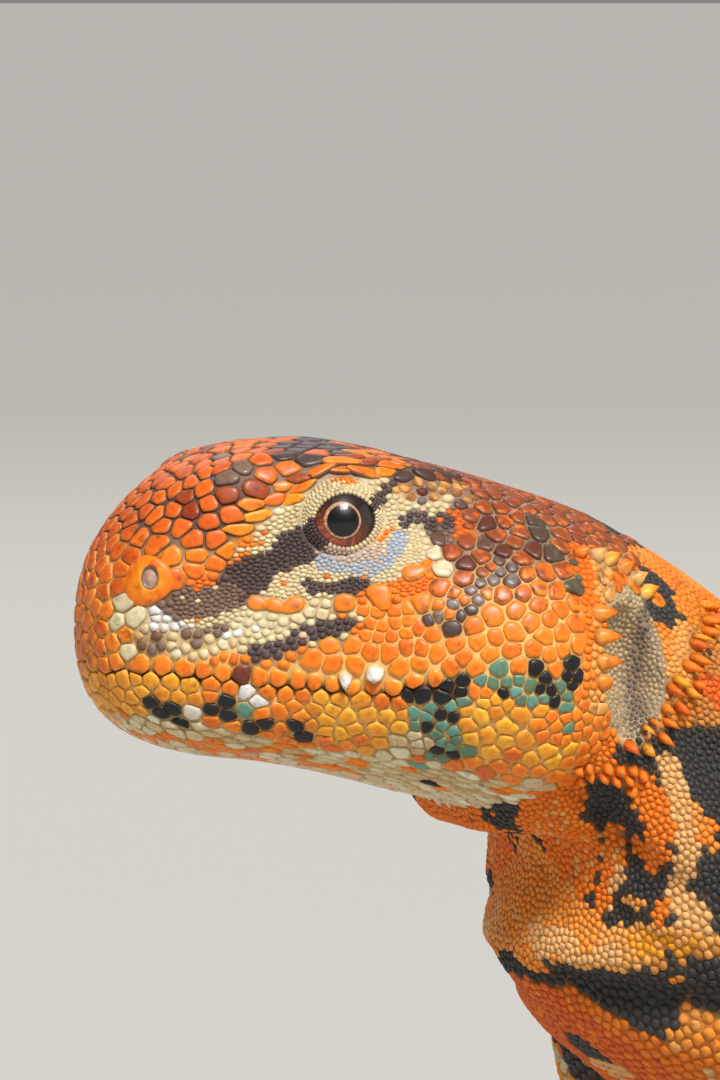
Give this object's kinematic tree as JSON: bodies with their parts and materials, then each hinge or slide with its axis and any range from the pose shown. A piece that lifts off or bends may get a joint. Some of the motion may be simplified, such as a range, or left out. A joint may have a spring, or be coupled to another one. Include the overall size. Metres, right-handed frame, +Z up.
{
  "type": "uromastyx lizard figure",
  "caption": "Life-size ornate spiny-tailed lizard, still, chest raised on its forelegs, head turned a little, thick tail laid back on the floor.",
  "frame": {"origin": "on the floor, at the middle of the model's footprint", "axes": "+Z up, the body lies along X with the head towards -X, and the animal's left side faces -Y"},
  "size_m": [0.2962, 0.13, 0.0815],
  "materials": {
    "hide": "satin scaled skin, orange and dark grey",
    "eye": "wet gloss",
    "ear_drum": "soft matt membrane"
  },
  "bodies": {
    "root": {"head": "hide", "neck": "hide", "chest": "hide", "belly": "hide", "hips": "hide", "tail_root": "hide", "tail_middle": "hide", "tail_tip": "hide", "upper_arm_left": "hide", "forearm_left": "hide", "hand_left": "hide", "thigh_left": "hide", "shin_left": "hide", "foot_left": "hide", "upper_arm_right": "hide", "forearm_right": "hide", "hand_right": "hide", "thigh_right": "hide", "shin_right": "hide", "foot_right": "hide", "eye_left": "eye", "eye_right": "eye", "ear_left": "ear_drum", "ear_right": "ear_drum"}
  },
  "joints": []
}
